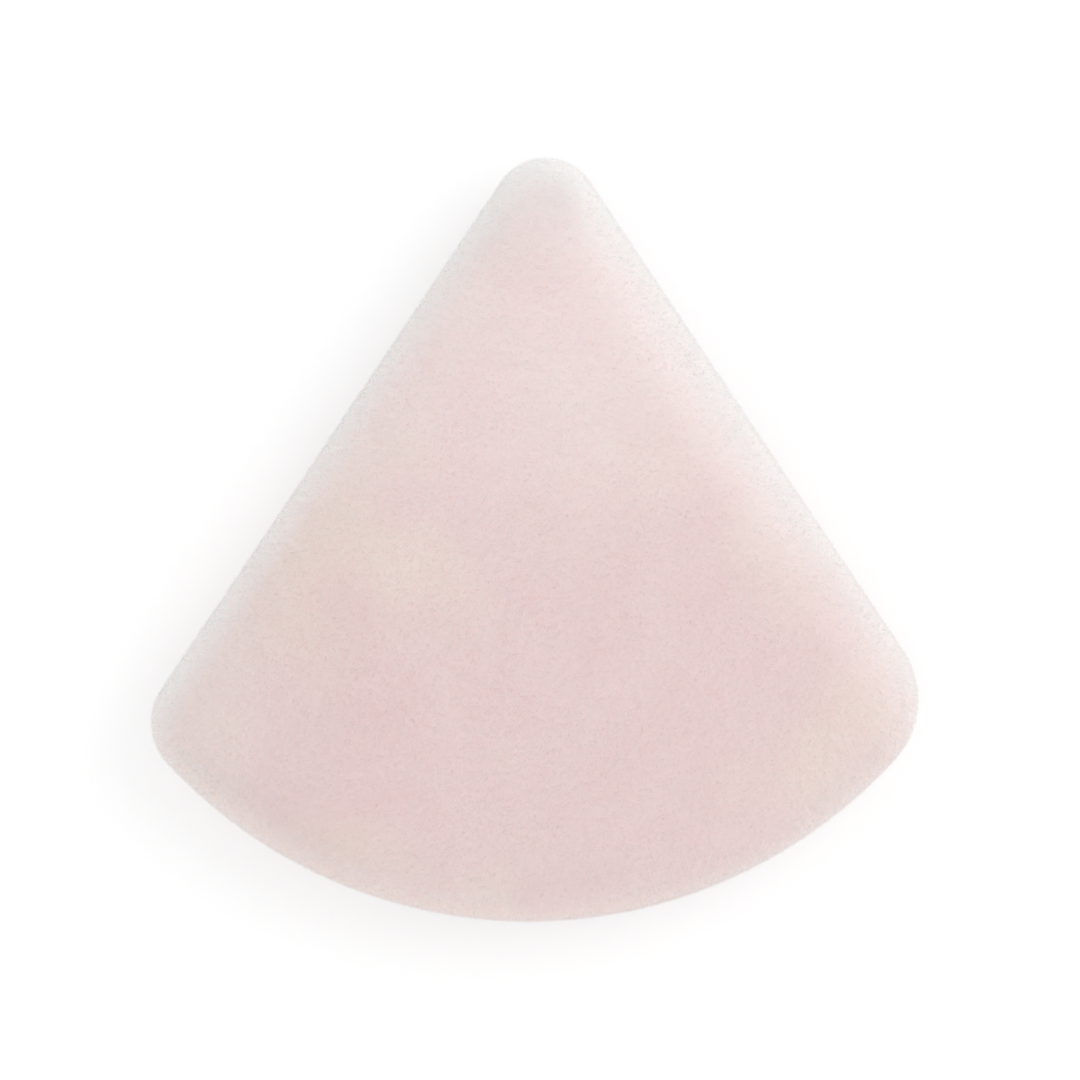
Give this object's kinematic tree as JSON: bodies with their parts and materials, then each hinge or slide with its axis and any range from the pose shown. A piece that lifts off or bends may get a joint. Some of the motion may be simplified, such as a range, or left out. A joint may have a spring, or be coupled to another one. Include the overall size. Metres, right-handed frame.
{
  "type": "powder puff",
  "caption": "Triangular velour powder puff with a curved edge, a foam core and a ribbon finger strap across its back, lying face up.",
  "frame": {"origin": "middle of the bounding box's base: the underside of the ribbon strap, on which the puff rests", "axes": "+Z out of the working face, +Y towards the narrow tip, +X to the right when the working face is seen with its tip up"},
  "size_m": [0.08, 0.0796, 0.0128],
  "materials": {
    "front_velour": "short dense velour pile, pale pink with a soft sheen at grazing angles",
    "back_velour": "short dense velour pile, pale pink",
    "foam": "soft open-cell polyurethane foam, off-white",
    "thread": "matt polyester sewing thread, pale pink",
    "ribbon": "satin weave, pale pink, glossy along the warp"
  },
  "bodies": {
    "strap": {"strap_span": "ribbon"},
    "puff": {"front_cover": "front_velour", "back_cover": "back_velour", "foam_core": "foam", "needle_thread": "thread", "bobbin_thread": "thread", "closing_stitches": "thread", "strap_left_run": "ribbon", "strap_right_run": "ribbon"}
  },
  "joints": [
    {"name": "finger_gap", "type": "slide", "parent": "strap", "child": "puff", "axis": [0, 0, 1], "range_m": [0, 0.006], "deforming": ["strap_left_run", "strap_right_run"]}
  ]
}
